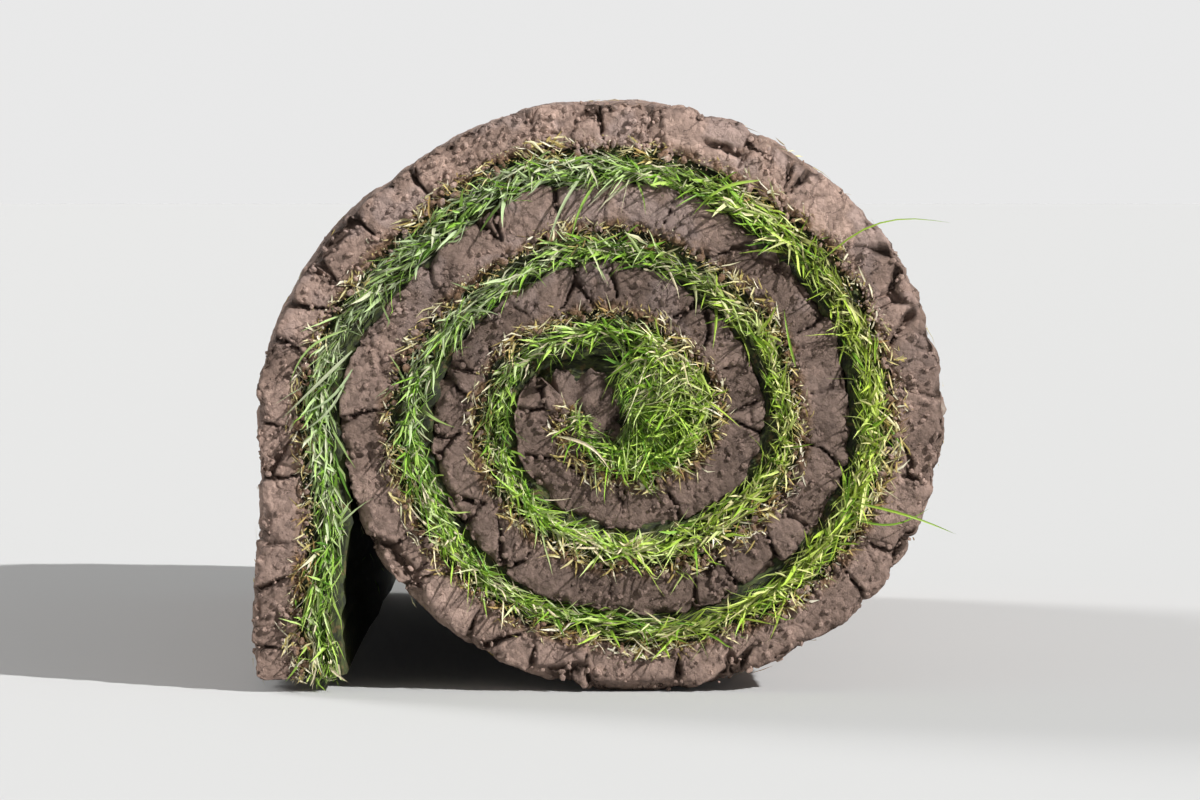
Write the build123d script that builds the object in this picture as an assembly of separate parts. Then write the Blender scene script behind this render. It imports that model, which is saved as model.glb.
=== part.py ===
from build123d import *
import math
import os

# A roll of turf: one strip of soil, roots and grass, wound up with the grass inside.
# It lies on its side and has sagged a little under its own weight. The strip's free end
# hangs down on the left, almost to the floor, and keeps the roll from rolling that way.
# X is across the roll, Y is along its axis and Z is up. The origin is on the floor,
# midway along the roll and midway across it. Lengths are in millimetres, angles in degrees.

# The strip as it is cut from the field
strip_length = 1524.0
strip_width = 610.0
soil_thickness = 18.5
sward_thickness = 11.0   # thatch and grass, pressed flat between two turns
sward_overhang = 9.0     # how far the grass leans out past each cut edge

# The winding
core_radius = 1.5        # the tightest bend of the innermost grass
turn_clearance = 0.5     # between the grass tips and the next turn, where they are closest
sag = 0.12               # share by which top and bottom bend less, and the sides more
tail_gap = 6.0           # height of the strip's free end above the floor

# The cracks that bending opens in the outside of the soil: small ones at the cut ends,
# close together, and long ones in rows along the roll
crack_mouth = 2.6        # width at the outside
crack_depth = 5.5
end_crack_spacing = 21.0
end_crack_reach = 48.0   # how far the longest ones run in along the roll
row_spacing = 76.0
row_stagger = 0.2        # how far the cracks of a row stray along the roll, as a share of row_spacing
row_crack_spacing = 46.0
row_crack_length = 62.0


def turn_pitch():
    """Growth of the roll for each turn, set by the top and bottom, where the turns lie closest."""
    layers = soil_thickness + sward_thickness + turn_clearance
    return layers / (1 - (math.sqrt(2) - 1) * sag)


def wound_arcs(wound_angle):
    """(centre, radius, start angle, sweep) of each arc of the strip's middle line, inwards.

    A turn is four arcs: left, top, right and bottom. The strip starts halfway down the left one.
    """
    quarter = 360 / 4
    inner_bend = (core_radius + sward_thickness + soil_thickness / 2) / (1 - sag)
    point, angle = Vector(0, 0), 180.0
    arcs = []
    done = 0.0
    while wound_angle - done > 1e-6:
        sweep = min(quarter if arcs else quarter / 2, wound_angle - done)
        turns_inside = (wound_angle - done - sweep / 2) / 360
        flattening = sag if len(arcs) % 2 else -sag
        radius = (1 + flattening) * (inner_bend + turn_pitch() * turns_inside)
        centre = point - Vector(radius, 0).rotate(Axis.Z, angle)
        arcs.append((centre, radius, angle, sweep))
        angle -= sweep
        point = centre + Vector(radius, 0).rotate(Axis.Z, angle)
        done += sweep
    return arcs


def tail_length(arcs):
    """The straight free end, from the strip's leftmost point down to its gap above the floor."""
    bottom_centre, bottom_radius = arcs[3][:2]
    height_above_floor = bottom_radius + soil_thickness / 2 - bottom_centre.Y
    return height_above_floor - tail_gap


def wind_strip():
    """The arcs that use up the whole strip with its tail, by halving the range of the wound angle."""
    least, most = 360.0, 360 * strip_length / turn_pitch()
    for _ in range(60):
        middle = (least + most) / 2
        arcs = wound_arcs(middle)
        used = tail_length(arcs) + sum(radius * math.radians(sweep) for _, radius, _, sweep in arcs)
        least, most = (middle, most) if used < strip_length else (least, middle)
    return wound_arcs(least)


def arc_edges(arcs, offset):
    """The arcs moved outwards by an offset, as edges."""
    return [CenterArc(centre, radius + offset, start, -sweep) for centre, radius, start, sweep in arcs]


def strip_side(arcs, offset):
    """One side of a layer, from the tail's tip inwards; offset is outwards from the middle line."""
    return [Line((-offset, -tail_length(arcs)), (-offset, 0))] + arc_edges(arcs, offset)


def strip_section(arcs, outer_offset, thickness):
    """The section of one layer of the strip, with X across the roll and Y up."""
    outer = strip_side(arcs, outer_offset)
    inner = strip_side(arcs, outer_offset - thickness)
    ends = [Line(outer[0] @ 0, inner[0] @ 0), Line(outer[-1] @ 1, inner[-1] @ 1)]
    return make_face(outer + inner + ends)


def last_turn(arcs):
    """The innermost full turn, cut from the list of arcs."""
    turn, left = [], 360.0
    for centre, radius, start, sweep in reversed(arcs):
        kept = min(sweep, left)
        turn.insert(0, (centre, radius, start - (sweep - kept), kept))
        left -= kept
        if left < 1e-6:
            break
    return turn


def core_section(arcs):
    """The grass of the innermost turn, which nothing presses flat, so it springs up and fills the core."""
    inside = arc_edges(last_turn(arcs), -soil_thickness / 2 - sward_thickness)
    return make_face(inside + [Line(inside[-1] @ 1, inside[0] @ 0)])


def along_the_roll(section, length):
    """A section made into a solid that is centred along the roll."""
    return extrude(Plane.XZ * section, amount=length / 2, both=True)


def strip_place(arcs, distance, offset):
    """The point at this distance along the strip's middle line, moved outwards by the offset."""
    tail = tail_length(arcs)
    if distance < tail:
        return Vector(-offset, distance - tail)
    distance -= tail
    for centre, radius, start, sweep in arcs:
        if distance < radius * math.radians(sweep):
            break
        distance -= radius * math.radians(sweep)
    return centre + Vector(radius + offset, 0).rotate(Axis.Z, start - math.degrees(distance / radius))


def unevenness(number):
    """A share from 0 to 1 that differs from one crack to the next, the same each time."""
    return 0.5 + 0.5 * math.sin(2.4 * number * number + number)


def crack_section(arcs, distance, along_roll, size):
    """The V of a crack at its widest, drawn up past the surface so that it opens cleanly."""
    depth, mouth, surface = crack_depth * size, crack_mouth * size, soil_thickness / 2
    corners = [
        strip_place(arcs, distance - mouth, surface + depth),
        strip_place(arcs, distance + mouth, surface + depth),
        strip_place(arcs, distance, surface - depth),
    ]
    return Plane.XZ.offset(-along_roll) * make_face(Polyline(corners, close=True))


def crack_tip(arcs, distance, along_roll):
    """The point on the outside of the soil where a crack runs out."""
    tip = strip_place(arcs, distance, soil_thickness / 2)
    return Vertex(tip.X, along_roll, tip.Y)


def end_crack(arcs, distance, size):
    """A crack that is widest at the front cut end. Its V is drawn past that end, and larger for it."""
    reach, past_end = end_crack_reach * size, crack_depth * size
    section = crack_section(arcs, distance, -strip_width / 2 - past_end, size * (reach + past_end) / reach)
    return loft([section, crack_tip(arcs, distance, reach - strip_width / 2)], ruled=True)


def row_crack(arcs, distance, along_roll, size):
    """A crack that is widest in its middle and runs out to both sides along the roll."""
    reach = row_crack_length * size / 2
    front, back = (crack_tip(arcs, distance, along_roll + side * reach) for side in (-1, 1))
    return loft([front, crack_section(arcs, distance, along_roll, size), back], ruled=True)


def cracks(arcs):
    """All the cracks of the outermost turn: those of the front half and their mirror images.

    Each has between half and all of its full size.
    """
    outermost_turn = sum(radius * math.radians(sweep) for _, radius, _, sweep in arcs[:4])
    front_half = []
    for k in range(int(outermost_turn / end_crack_spacing)):
        uneven = unevenness(k + 1)
        distance = tail_length(arcs) + (k + uneven) * end_crack_spacing
        front_half.append(end_crack(arcs, distance, (1 + uneven) / 2))
    row_count = int((strip_width / 2 - end_crack_reach) / row_spacing)
    for row in range(row_count):
        for k in range(int(outermost_turn / row_crack_spacing)):
            uneven = unevenness(k + 1 + row / row_count)
            distance = tail_length(arcs) + (k + uneven) * row_crack_spacing
            stray = row_stagger * (unevenness(k - row) - 0.5)
            along_roll = -(row + 0.5 + stray) * row_spacing
            front_half.append(row_crack(arcs, distance, along_roll, (1 + uneven) / 2))
    return front_half + [mirror(crack, Plane.XZ) for crack in front_half]


def main():
    arcs = wind_strip()
    soil_section = strip_section(arcs, soil_thickness / 2, soil_thickness)
    sward_section = strip_section(arcs, -soil_thickness / 2, sward_thickness)
    sward_section += core_section(arcs) - soil_section
    soil = along_the_roll(soil_section, strip_width) - cracks(arcs)
    sward = along_the_roll(sward_section, strip_width + 2 * sward_overhang)
    box = soil.bounding_box()
    on_the_floor = Pos(-box.center().X, 0, -box.min.Z)
    os.makedirs("parts", exist_ok=True)
    for name, solid in {"soil_mat": soil, "grass_sward": sward}.items():
        export_step(on_the_floor * solid, f"parts/{name}.step")


main()
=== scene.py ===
import math
import bpy
import bmesh
import numpy as np
from mathutils import Matrix, Vector
from mathutils.noise import turbulence


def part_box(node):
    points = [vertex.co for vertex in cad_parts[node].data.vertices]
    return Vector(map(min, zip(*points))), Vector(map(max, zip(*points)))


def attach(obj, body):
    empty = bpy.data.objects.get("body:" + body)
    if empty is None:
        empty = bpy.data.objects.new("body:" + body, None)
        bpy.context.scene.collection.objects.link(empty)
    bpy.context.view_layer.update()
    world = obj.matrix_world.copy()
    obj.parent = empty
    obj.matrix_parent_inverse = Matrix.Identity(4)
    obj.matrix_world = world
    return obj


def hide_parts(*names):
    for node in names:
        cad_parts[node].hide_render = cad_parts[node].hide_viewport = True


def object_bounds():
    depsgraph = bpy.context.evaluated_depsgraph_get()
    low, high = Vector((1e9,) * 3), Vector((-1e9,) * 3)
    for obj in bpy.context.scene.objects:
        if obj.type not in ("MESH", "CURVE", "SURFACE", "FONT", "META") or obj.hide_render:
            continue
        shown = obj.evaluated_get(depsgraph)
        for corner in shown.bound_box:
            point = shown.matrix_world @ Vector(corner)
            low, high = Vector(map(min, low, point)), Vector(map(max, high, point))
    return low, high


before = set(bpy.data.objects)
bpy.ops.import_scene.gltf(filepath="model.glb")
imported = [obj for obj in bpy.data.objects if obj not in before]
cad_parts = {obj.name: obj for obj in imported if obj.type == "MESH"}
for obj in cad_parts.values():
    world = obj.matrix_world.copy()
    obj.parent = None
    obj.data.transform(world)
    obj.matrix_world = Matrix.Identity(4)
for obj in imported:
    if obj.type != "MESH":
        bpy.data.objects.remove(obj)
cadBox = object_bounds()
print("frame loaded:", ", ".join(sorted(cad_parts)))

# The strip, in metres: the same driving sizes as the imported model
strip = {
    "length": 1.524,
    "width": 0.610,
    "soil": 0.0185,
    "sward": 0.011,
    "core": 0.0015,         # the tightest bend of the innermost grass
    "clearance": 0.0005,
    "sag": 0.12,            # top and bottom bend less by this share, the sides more
    "tailGap": 0.006,       # the free end's height above the floor
    "leadIn": 0.050,        # the winding path goes on this far past the free end, along the floor
    "leadBend": 0.022,
    "leadOut": 0.030,       # and this far past the inner end
    "pathStep": 0.0015,
}
halfSoil, halfWidth = strip["soil"] / 2, strip["width"] / 2
nextSoil = -halfSoil - strip["sward"]               # the soil of the next turn in starts here


def newObject(name, content):
    item = bpy.data.objects.new(name, content)
    bpy.context.scene.collection.objects.link(item)
    return item


# Winding path

def turnPitch():
    layers = strip["soil"] + strip["sward"] + strip["clearance"]
    return layers / (1 - (math.sqrt(2) - 1) * strip["sag"])


def woundArcs(woundAngle):  # centre, radius, start angle and sweep, inwards
    quarter = math.pi / 2
    innerBend = (strip["core"] + strip["sward"] + halfSoil) / (1 - strip["sag"])
    point, angle, done, arcs = Vector((0, 0)), math.pi, 0.0, []
    while woundAngle - done > 1e-8:
        sweep = min(quarter if arcs else quarter / 2, woundAngle - done)
        turnsInside = (woundAngle - done - sweep / 2) / math.tau
        flattening = strip["sag"] if len(arcs) % 2 else -strip["sag"]
        radius = (1 + flattening) * (innerBend + turnPitch() * turnsInside)
        centre = point - radius * Vector((math.cos(angle), math.sin(angle)))
        arcs.append((centre, radius, angle, sweep))
        angle -= sweep
        point = centre + radius * Vector((math.cos(angle), math.sin(angle)))
        done += sweep
    return arcs


def tailLength(arcs):
    centre, radius = arcs[3][:2]                    # the bottom arc of the outer turn
    return radius + halfSoil - centre.y - strip["tailGap"]


def windStrip():  # halve the range until the whole strip is used up
    least, most = math.tau, math.tau * strip["length"] / turnPitch()
    for _ in range(60):
        middle = (least + most) / 2
        arcs = woundArcs(middle)
        used = tailLength(arcs) + sum(radius * sweep for _, radius, _, sweep in arcs)
        least, most = (middle, most) if used < strip["length"] else (least, middle)
    return woundArcs(least)


def leadPlace(back, tailEnd):  # on the way from the floor up to the free end
    bend = strip["leadBend"]
    angle = min(back / bend, math.pi / 2)
    rest = back - angle * bend
    return Vector((bend - bend * math.cos(angle) + rest, tailEnd - bend * math.sin(angle)))


def spiralCurve():
    arcs = windStrip()
    low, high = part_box("soil_mat")
    shift = Vector((low.x + halfSoil, low.z + strip["tailGap"] + tailLength(arcs)))
    tailEnd = -tailLength(arcs)
    places = [leadPlace(back, tailEnd) for back in np.arange(strip["leadIn"], 0, -strip["pathStep"])]
    places += [Vector((0, z)) for z in np.arange(tailEnd, 0, strip["pathStep"])]
    centre, radius, start, sweep = arcs[-1]
    arcs[-1] = (centre, radius, start, sweep + strip["leadOut"] / radius)
    for centre, radius, start, sweep in arcs:
        count = max(2, round(sweep * radius / strip["pathStep"]))
        for k in range(count + (sweep == arcs[-1][3])):
            angle = start - sweep * k / count
            places.append(centre + radius * Vector((math.cos(angle), math.sin(angle))))
    curve = bpy.data.curves.new("turfSpiral", "CURVE")
    curve.dimensions = "3D"
    spline = curve.splines.new("POLY")
    spline.points.add(len(places) - 1)
    flat = [(p.x + shift.x, 0, p.y + shift.y, 1) for p in places]
    spline.points.foreach_set("co", np.array(flat, dtype=np.float32).ravel())
    return newObject("turfSpiral", curve)


# Node helpers

class Field:  # a node socket that takes part in sums
    def __init__(self, socket):
        self.tree = socket.id_data
        self.socket = socket

    def work(self, operation, *others):
        isVector = self.socket.type in ("VECTOR", "RGBA")
        node = self.tree.nodes.new("ShaderNodeVectorMath" if isVector else "ShaderNodeMath")
        node.operation = operation
        for slot, value in zip(node.inputs, (self, *others)):
            feed(slot, value)
        return Field(node.outputs[0])

    def __add__(self, other):
        return self.work("ADD", other)

    def __sub__(self, other):
        return self.work("SUBTRACT", other)

    def __mul__(self, other):
        return self.work("MULTIPLY", other)

    def __truediv__(self, other):
        return self.work("DIVIDE", other)

    def scaled(self, factor):                       # a vector times one number
        node = self.tree.nodes.new("ShaderNodeVectorMath")
        node.operation = "SCALE"
        feed(node.inputs[0], self)
        feed(node.inputs["Scale"], factor)
        return Field(node.outputs[0])

    def parts(self):                                # x, y and z of a vector
        node = put(self.tree, "ShaderNodeSeparateXYZ", {"Vector": self})
        return [Field(node.outputs[k]) for k in range(3)]


def feed(slot, value):
    if isinstance(value, Field):
        value.tree.links.new(value.socket, slot)
    elif slot.type in ("VECTOR", "RGBA") and isinstance(value, (int, float)):
        slot.default_value = [value] * len(slot.default_value)
    else:
        slot.default_value = value


def put(tree, kind, slots=None, **settings):  # adds a node, sets it up and feeds its sockets
    node = tree.nodes.new(kind)
    for name, value in settings.items():
        setattr(node, name, value)
    for name, value in (slots or {}).items():
        feed(next(s for s in node.inputs if s.name == name and s.enabled), value)
    return node


def out(node, name=None):  # the output of this name, or else the first
    return Field(next(s for s in node.outputs if s.enabled and name in (None, s.name)))


def vector(tree, x, y, z):
    return out(put(tree, "ShaderNodeCombineXYZ", {"X": x, "Y": y, "Z": z}))


def noise(place, size, detail=2.0, roughness=0.5, colour=False):  # size of its lumps, in metres
    node = put(place.tree, "ShaderNodeTexNoise", {"Vector": place, "Scale": 1 / size, "Detail": detail,
                                                  "Roughness": roughness})
    return out(node, "Color" if colour else None)


def swing(place, size, reach, detail=1.0, roughness=0.5):  # up to half the reach both ways
    return (noise(place, size, detail, roughness) - 0.5) * reach


def jitter(place, size, reach, detail=1.0, roughness=0.5):  # the same as a vector
    return (noise(place, size, detail, roughness, colour=True) - (0.5, 0.5, 0.5)).scaled(reach)


def cells(place, size=1.0, **settings):  # a cell pattern with cells of this size
    return put(place.tree, "ShaderNodeTexVoronoi", {"Vector": place, "Scale": 1 / size}, **settings)


def ramp(value, start, end, low=0.0, high=1.0, smooth=True):
    node = put(value.tree, "ShaderNodeMapRange", {"Value": value, "From Min": start, "From Max": end,
                                                  "To Min": low, "To Max": high},
               interpolation_type="SMOOTHSTEP" if smooth else "LINEAR")
    return out(node)


def spots(place, size, start, end, detail=2.0, roughness=0.5, low=0.0, high=1.0):
    return ramp(noise(place, size, detail, roughness), start, end, low, high)


def newTree(name, inputs):
    tree = bpy.data.node_groups.new(name, "GeometryNodeTree")
    for label, form in inputs.items():
        tree.interface.new_socket(label, in_out="INPUT", socket_type="NodeSocket" + form)
    tree.interface.new_socket("Geometry", in_out="OUTPUT", socket_type="NodeSocketGeometry")
    entry = tree.nodes.new("NodeGroupInput")
    given = {label: Field(entry.outputs[label]) for label in inputs}
    return tree, given


def endTree(geometry):
    feed(geometry.tree.nodes.new("NodeGroupOutput").inputs["Geometry"], geometry)
    return geometry.tree


def position(tree):
    return out(put(tree, "GeometryNodeInputPosition"))


def move(geometry, place, slot="Position"):  # sets the points' places, or shifts them by an Offset
    return out(put(geometry.tree, "GeometryNodeSetPosition", {"Geometry": geometry, slot: place}))


def realize(geometry):
    return out(put(geometry.tree, "GeometryNodeRealizeInstances", {"Geometry": geometry}))


def chances(tree, seed):  # each call draws a fresh random number for each point
    drawn = [0]

    def chance(least=0.0, most=1.0):
        drawn[0] += 1
        slots = {"Min": least, "Max": most, "Seed": seed + float(drawn[0])}
        return out(put(tree, "FunctionNodeRandomValue", slots, data_type="FLOAT"))

    return chance


def keep(geometry, label, value, form="FLOAT"):  # stores a field on the points under a name
    slots = {"Geometry": geometry, "Name": label, "Value": value}
    return out(put(geometry.tree, "GeometryNodeStoreNamedAttribute", slots, data_type=form, domain="POINT"))


def stored(tree, label, form="FLOAT"):  # reads such a field back
    return out(put(tree, "GeometryNodeInputNamedAttribute", {"Name": label}, data_type=form), "Attribute")


packedNodes = {"soil": "soil_mat", "grass": "grass_sward", "thatch": "grass_sward"}  # by material slot


def addPiece(name, mesh, slot, node=None):  # a finished piece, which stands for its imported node
    piece = newObject(name, mesh)
    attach(piece, "root")
    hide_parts(node or packedNodes[slot])
    triangles = sum(len(p.vertices) - 2 for p in mesh.polygons)
    print(f"{name}: {triangles} triangles")


def runTree(name, tree, base, values, slot, node=None):  # a plain mesh piece from a node tree
    holder = newObject(name + "Base", base)
    modifier = holder.modifiers.new(name, "NODES")
    modifier.node_group = tree
    sockets = {s.name: s.identifier for s in tree.interface.items_tree if s.item_type == "SOCKET"
               and s.in_out == "INPUT"}
    for label, value in values.items():
        modifier[sockets[label]] = value
    graph = bpy.context.evaluated_depsgraph_get()
    mesh = bpy.data.meshes.new_from_object(holder.evaluated_get(graph), preserve_all_data_layers=True,
                                           depsgraph=graph)
    mesh.name = name
    bpy.data.objects.remove(holder)
    addPiece(name, mesh, slot, node)


# Winding group: takes (along the strip, across it, above its middle) to the wound place

warp = {
    "wanderSize": 0.11,     # how long the waves of the cut edges are
    "swaySize": 0.07,
    "pullSize": 0.085,
    "stretch": (1.0, 0.25, 1.0),  # the roll bends slowly along its axis
    "firmSides": 0.03,      # nothing is pulled where it lies on the floor, and all of it above this
    "firmBelow": 0.06,
}
windingInputs = {"Geometry": "Geometry", "Spiral": "Object",
                 **{label: "Float" for label in ("Lead", "Wander", "Sway", "Warp", "Floor")}}


def windGroup():
    tree, given = newTree("windUp", windingInputs)
    along, across, above = position(tree).parts()
    info = put(tree, "GeometryNodeObjectInfo", {"Object": given["Spiral"]})
    path = put(tree, "GeometryNodeSampleCurve", {"Curves": out(info, "Geometry"),
                                                 "Length": along + given["Lead"]}, mode="LENGTH")
    outward = out(path, "Tangent").work("CROSS_PRODUCT", (0, 1, 0)).work("NORMALIZE")
    wander = swing(vector(tree, along, 0, 0), warp["wanderSize"], given["Wander"])
    sway = swing(vector(tree, along, across * 0.4, 0.3), warp["swaySize"], given["Sway"])
    place = out(path, "Position") + outward.scaled(above + sway) + vector(tree, 0, across + wander, 0)
    pull = jitter(place.work("MULTIPLY", warp["stretch"]), warp["pullSize"], given["Warp"])
    x, y, z = place.parts()
    pullX, pullY, pullZ = pull.parts()
    raised = z + pullZ * ramp(z, 0.0, warp["firmBelow"])  # the roll still rests on the floor
    aside = x + pullX * ramp(z, 0.0, warp["firmSides"])
    settled = vector(tree, aside, y, raised.work("MAXIMUM", given["Floor"]))
    return endTree(move(given["Geometry"], settled))


spiral = spiralCurve()
winding = {"Spiral": spiral, "Lead": strip["leadIn"], "Wander": 0.007, "Sway": 0.003, "Warp": 0.016,
           "Floor": 0.0004}
windUp = windGroup()


def wound(geometry, given):  # puts the winding group into another tree
    node = put(geometry.tree, "GeometryNodeGroup", node_tree=windUp)
    for label in winding:
        feed(node.inputs[label], given[label])
    feed(node.inputs["Geometry"], geometry)
    return out(node)


def woundTree(name, lengths, **others):  # a tree for pieces that are laid out flat, then wound
    floats = {label: "Float" for label in lengths}
    return newTree(name, {**windingInputs, "Material": "Material", **floats, **others})


def endWound(geometry, given):
    slots = {"Geometry": realize(geometry), "Material": given["Material"]}
    return endTree(out(put(geometry.tree, "GeometryNodeSetMaterial", slots)))


# Soil

soil = {
    "faceStep": 0.00065,    # mesh size across the cut end
    "alongStep": 0.0008,    # mesh size along the strip at the front end
    "backStep": 0.0015,
    "backFaceStep": 0.0010,
    "wallDepth": 0.012,     # how far the end pieces reach along the roll
    "rim": 0.0010,          # rounding of the cut edges
    "skinStep": 0.0014,
    "skinAcross": 0.0043,
    "skinInset": 0.0035,
    "tailStep": 0.004,
    "crackedTo": 0.74,      # the outermost turn, where bending opens the cracks, ends here
    "skinEnd": 0.80,        # the outside of the strip shows this far from its free end
    "skinBits": 0.74,       # straw, crumbs and stones lie on it up to here
    "tailInside": 0.10,     # the inner side of the free end is closed this far up
}


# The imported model's cracks: these open at the same places, and finer ones come between them
cracks = {
    "mouth": 0.0026,        # width at the outside
    "depth": 0.0055,
    "endSpacing": 0.021,
    "endReach": 0.048,      # how far the longest ones run in from a cut end
    "rowSpacing": 0.076,
    "rowStagger": 0.2,
    "rowCrackSpacing": 0.046,
    "rowLength": 0.062,
    "shoulder": 0.0031,     # the clods' edges round off this far beside a crack at an end
    "rowShoulder": 0.0008,  # and this far beside those in rows
    "wobble": 0.0010,       # how far a crack strays from a straight line
    "waveAcross": 230,      # radians in a metre
    "waveAbove": 800,
    "nearby": 0.012,        # no crack reaches further along the strip than this
}


def unevenness(number):
    return 0.5 + 0.5 * math.sin(2.4 * number * number + number)


def packedCracks():  # distance, place along the roll, reach and size of each
    arcs = windStrip()
    tail = tailLength(arcs)
    outermost = sum(radius * sweep for _, radius, _, sweep in arcs[:4])
    found = []
    for k in range(int(outermost / cracks["endSpacing"])):
        size = (1 + unevenness(k + 1)) / 2
        distance = tail + (k + unevenness(k + 1)) * cracks["endSpacing"]
        found.append((distance, -halfWidth, cracks["endReach"] * size, size))
    rows = int((halfWidth - cracks["endReach"]) / cracks["rowSpacing"])
    for row in range(rows):
        for k in range(int(outermost / cracks["rowCrackSpacing"])):
            uneven = unevenness(k + 1 + row / rows)
            distance = tail + (k + uneven) * cracks["rowCrackSpacing"]
            stray = cracks["rowStagger"] * (unevenness(k - row) - 0.5)
            reach = cracks["rowLength"] * (1 + uneven) / 4
            found.append((distance, -(row + 0.5 + stray) * cracks["rowSpacing"], reach, (1 + uneven) / 2))
    return found + [(distance, -across, reach, size) for distance, across, reach, size in found]


def crackSink(grid):  # how far the cracks sink each place of a sheet
    sink = np.zeros(grid.shape[:2], dtype=np.float32)
    for distance, middle, reach, size in packedCracks():
        near = np.abs(grid[:, 0, 0] - distance) < cracks["nearby"]
        along, across, above = np.moveaxis(grid[near], -1, 0)
        waves = np.sin(across * cracks["waveAcross"] + distance * 900)
        waves = waves + np.sin(above * cracks["waveAbove"] + distance * 70)
        stray = cracks["wobble"] * waves
        below = (halfSoil - above) / cracks["depth"]
        beside = np.abs(along + stray - distance) / (cracks["mouth"] / 2)
        opening = size * (1 - np.abs(across - middle) / reach)
        cut = np.clip(opening - below - beside, 0, 1)
        shoulder = np.clip(1 - below * 0.8 - beside / 4, 0, 1) ** 2 * np.clip(opening * 3, 0, 1)
        atEnd = abs(middle) == halfWidth
        rounding = cracks["shoulder"] if atEnd else cracks["rowShoulder"]
        sink[near] = np.maximum(sink[near], cracks["depth"] * cut + rounding * shoulder)
    return sink


def sheetMesh(name, rows):  # rows of places, joined by quads
    grid = np.array(rows, dtype=np.float32)
    count, width = grid.shape[:2]
    index = np.arange(count * width).reshape(count, width)
    quads = np.stack([index[:-1, :-1], index[1:, :-1], index[1:, 1:], index[:-1, 1:]], -1).reshape(-1, 4)
    mesh = bpy.data.meshes.new(name)
    mesh.vertices.add(count * width)
    mesh.vertices.foreach_set("co", grid.ravel())
    mesh.loops.add(quads.size)
    mesh.loops.foreach_set("vertex_index", quads.ravel().astype(np.int32))
    mesh.polygons.add(len(quads))
    mesh.polygons.foreach_set("loop_start", np.arange(0, quads.size, 4, dtype=np.int32))
    mesh.polygons.foreach_set("use_smooth", np.ones(len(quads), dtype=bool))
    mesh.update(calc_edges=True)
    sink = mesh.attributes.new("sink", "FLOAT", "POINT")
    sink.data.foreach_set("value", crackSink(grid).ravel())
    return mesh


def endProfile(step, side):  # (across, above) from the outer wall over the cut end
    rim = soil["rim"]
    wall = np.linspace(soil["wallDepth"], rim, 9)
    bend = np.linspace(0, math.pi / 2, 4)[1:-1]
    face = np.linspace(halfSoil - rim, rim - halfSoil, round((2 * halfSoil - 2 * rim) / step))
    outer = [(halfWidth - w, halfSoil) for w in wall]
    outer += [(halfWidth - rim + rim * math.sin(a), halfSoil - rim + rim * math.cos(a)) for a in bend]
    inner = [(w, -h) for w, h in reversed(outer)]
    return [(side * w, h) for w, h in outer + [(halfWidth, h) for h in face] + inner]


def endSheet(name, step, faceStep, side):  # the cut end of the whole strip, closed at its two ends
    profile = endProfile(faceStep, side)
    rim = soil["rim"]
    closing = [(-rim, share) for share in np.linspace(0, 0.92, 9)] + [(-rim * 0.6, 0.97)]
    columns = closing + [(s, 1.0) for s in np.arange(0, strip["length"], step)]
    columns += [(strip["length"] - s, share) for s, share in reversed(closing)]
    if side < 0:
        profile.reverse()
    return sheetMesh(name, [[(s, w, h * share) for w, h in profile] for s, share in columns])


def skinSheet():  # round the free end and on over the outside of the roll
    rim = soil["rim"]
    inside = [(s, -halfSoil) for s in np.arange(soil["tailInside"], rim, -soil["tailStep"])]
    tip = [(0, -halfSoil + rim * 0.4)]
    tip += [(-rim, h) for h in np.linspace(rim - halfSoil, halfSoil - rim, 14)]
    outside = [(s, halfSoil) for s in np.arange(0, soil["skinEnd"], soil["skinStep"])]
    edge = halfWidth - soil["skinInset"]
    across = np.linspace(-edge, edge, round(2 * edge / soil["skinAcross"]))
    return sheetMesh("soilSkin", [[(s, w, h) for w in across] for s, h in inside + tip + outside])


fill = {
    "inset": 0.004,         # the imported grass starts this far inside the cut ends
    "outward": 0.0008,      # it reaches this far into the soil outside it
    "inward": 0.0042,       # and this far towards the next turn's soil
    "alongStep": 0.0034,
}


def swardSheet():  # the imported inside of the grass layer, closed all round
    middle = -halfSoil - strip["sward"] / 2
    edge = halfWidth - fill["inset"]
    top, bottom = strip["sward"] / 2 + fill["outward"], -strip["sward"] / 2 - fill["inward"]
    above = np.linspace(top, bottom, 11)
    across = np.linspace(-edge, edge, 8)[1:-1]
    ring = [(-edge, h) for h in above] + [(w, bottom) for w in across]
    ring += [(edge, h) for h in reversed(above)] + [(-w, top) for w in across] + [(-edge, top)]
    closing = [(0.0, share) for share in np.linspace(0, 0.9, 8)]
    columns = closing + [(s, 1.0) for s in np.arange(0.001, strip["length"], fill["alongStep"])]
    columns += [(strip["length"], share) for s, share in reversed(closing)]
    return sheetMesh("swardFill", [[(s, w, middle + h * share) for w, h in ring] for s, share in columns])


relief = {  # of the soil: sizes and heights in metres, openings and shades as shares
    "jaggedSize": 0.008,
    "jaggedReach": 0.004,
    "bowedSize": 0.035,
    "bowedReach": 0.009,
    "endDepth": 0.070,      # cracks open wider this near the cut ends
    "endOpening": 1.35,
    "skinOpening": 0.45,
    "innerOpening": 0.75,   # and less in the inner turns
    "innerFade": 0.15,
    "gateSize": 0.03,
    "skinDepth": 0.8,       # share of their depth that the cracks have on the outside
    "hairCells": (0.0075, 0.021, 0.0085),
    "hairGate": 0.014,
    "hairDepth": 0.0010,
    "rimReach": 0.007,      # the rims crumble this far in from the ends
    "rimHeight": 0.0045,    # and this far down from the soil's faces
    "crumbleSize": 0.009,
    "crumbled": 0.0042,
    "raggedSize": 0.011,
    "ragged": 0.0040,
    "grainSize": 0.0036,
    "lumpSize": 0.05,
    "clodStep": 0.0008,
    "clodStepEnd": 0.0014,
    "pitSize": 0.0045,
    "pitDepth": 0.0002,
    "sinkShade": 320.0,     # turns the depth of a packed crack into a share of painted shade
}


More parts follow.
